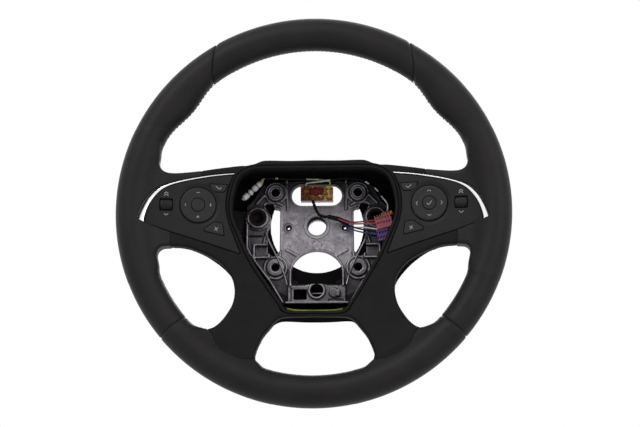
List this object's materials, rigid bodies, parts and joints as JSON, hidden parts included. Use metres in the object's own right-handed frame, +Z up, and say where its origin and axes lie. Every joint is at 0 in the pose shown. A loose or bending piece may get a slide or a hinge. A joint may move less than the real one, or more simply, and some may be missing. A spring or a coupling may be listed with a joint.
{
  "type": "car steering wheel",
  "caption": "Leather-wrapped car steering wheel with its airbag module removed: cast hub, wiring, switch panels with round pads and rollers, satin-chrome strips.",
  "frame": {"origin": "middle of the column bore in the hub, on its axis", "axes": "+X to the driver's right, +Z up at the twelve o'clock point, +Y along the column away from the driver, so the wheel faces -Y"},
  "size_m": [0.38, 0.1265, 0.38],
  "materials": {
    "magnesium": "cast, satin",
    "steel": "turned",
    "foam": "moulded foam",
    "leather": "fine grain",
    "satin_black": "satin",
    "dark_shell": "grained",
    "satin_chrome": "satin",
    "key_black": "matt",
    "board_green": "lacquered",
    "amber": "moulded",
    "red": "moulded",
    "pink": "moulded",
    "orange": "moulded",
    "purple": "moulded",
    "white": "moulded",
    "tan": "moulded",
    "black_sleeve": "braided",
    "blue": "drawn",
    "yellow_green": "drawn",
    "maroon": "moulded"
  },
  "bodies": {
    "wheel": {"armature": "magnesium", "spline_bushing": "steel", "rim_foam": "foam", "leather_top": "leather", "leather_left": "leather", "leather_right": "leather", "leather_bottom": "leather", "front_bezel": "satin_black", "back_cover": "dark_shell", "switch_panel_left": "satin_black", "switch_panel_right": "satin_black", "chrome_strip_left": "satin_chrome", "chrome_strip_right": "satin_chrome", "switch_board_left": "board_green", "switch_board_right": "board_green", "main_connector": "amber", "connector_lock": "red", "connector_pink": "pink", "connector_orange": "orange", "connector_purple": "purple", "connector_white": "white", "connector_tip": "tan", "harness_sleeve": "black_sleeve", "splice_joint": "black_sleeve", "wire_red": "red", "wire_pink": "pink", "wire_black": "black_sleeve", "wire_blue": "blue", "wire_white": "white", "wire_left": "yellow_green", "wire_right": "white", "wire_bottom": "yellow_green", "module_spring_left": "steel", "module_spring_right": "steel", "mid_bushings": "maroon", "cover_screws": "steel"},
    "pad_carrier_left": {"pad_carrier_left": "key_black"},
    "pad_left": {"pad_left": "key_black"},
    "centre_button_left": {"centre_button_left": "key_black"},
    "roller_left": {"roller_left": "key_black"},
    "button_left_upper": {"button_left_upper": "key_black"},
    "button_left_lower": {"button_left_lower": "key_black"},
    "pad_carrier_right": {"pad_carrier_right": "key_black"},
    "pad_right": {"pad_right": "key_black"},
    "centre_button_right": {"centre_button_right": "key_black"},
    "roller_right": {"roller_right": "key_black"},
    "button_right_upper": {"button_right_upper": "key_black"},
    "button_right_lower": {"button_right_lower": "key_black"}
  },
  "joints": [
    {"name": "pad_left_up_down", "type": "hinge", "parent": "wheel", "child": "pad_carrier_left", "pos_m": [-0.11142, -0.08207, 0.007], "axis": [0.991, 0.134, 0], "range_deg": [-3, 3], "stiffness_Nm_per_rad": 0.6},
    {"name": "pad_left_left_right", "type": "hinge", "parent": "pad_carrier_left", "child": "pad_left", "pos_m": [-0.11142, -0.08207, 0.007], "axis": [0, 0, 1], "range_deg": [-3, 3], "stiffness_Nm_per_rad": 0.6},
    {"name": "centre_button_left_press", "type": "slide", "parent": "pad_left", "child": "centre_button_left", "axis": [-0.134, 0.991, 0], "range_m": [0, 0.0008], "stiffness_N_per_m": 1500},
    {"name": "roller_left_turn", "type": "hinge", "parent": "wheel", "child": "roller_left", "pos_m": [-0.14183, -0.08547, 0.007], "axis": [0.991, 0.134, 0], "range_deg": [-12, 12], "stiffness_Nm_per_rad": 0.05},
    {"name": "button_left_upper_press", "type": "slide", "parent": "wheel", "child": "button_left_upper", "axis": [-0.134, 0.991, 0], "range_m": [0, 0.0008], "stiffness_N_per_m": 1500},
    {"name": "button_left_lower_press", "type": "slide", "parent": "wheel", "child": "button_left_lower", "axis": [-0.134, 0.991, 0], "range_m": [0, 0.0008], "stiffness_N_per_m": 1500},
    {"name": "pad_right_up_down", "type": "hinge", "parent": "wheel", "child": "pad_carrier_right", "pos_m": [0.11142, -0.08207, 0.007], "axis": [0.991, -0.134, 0], "range_deg": [-3, 3], "stiffness_Nm_per_rad": 0.6},
    {"name": "pad_right_left_right", "type": "hinge", "parent": "pad_carrier_right", "child": "pad_right", "pos_m": [0.11142, -0.08207, 0.007], "axis": [0, 0, 1], "range_deg": [-3, 3], "stiffness_Nm_per_rad": 0.6},
    {"name": "centre_button_right_press", "type": "slide", "parent": "pad_right", "child": "centre_button_right", "axis": [0.134, 0.991, 0], "range_m": [0, 0.0008], "stiffness_N_per_m": 1500},
    {"name": "roller_right_turn", "type": "hinge", "parent": "wheel", "child": "roller_right", "pos_m": [0.14183, -0.08547, 0.007], "axis": [0.991, -0.134, 0], "range_deg": [-12, 12], "stiffness_Nm_per_rad": 0.05},
    {"name": "button_right_upper_press", "type": "slide", "parent": "wheel", "child": "button_right_upper", "axis": [0.134, 0.991, 0], "range_m": [0, 0.0008], "stiffness_N_per_m": 1500},
    {"name": "button_right_lower_press", "type": "slide", "parent": "wheel", "child": "button_right_lower", "axis": [0.134, 0.991, 0], "range_m": [0, 0.0008], "stiffness_N_per_m": 1500}
  ]
}
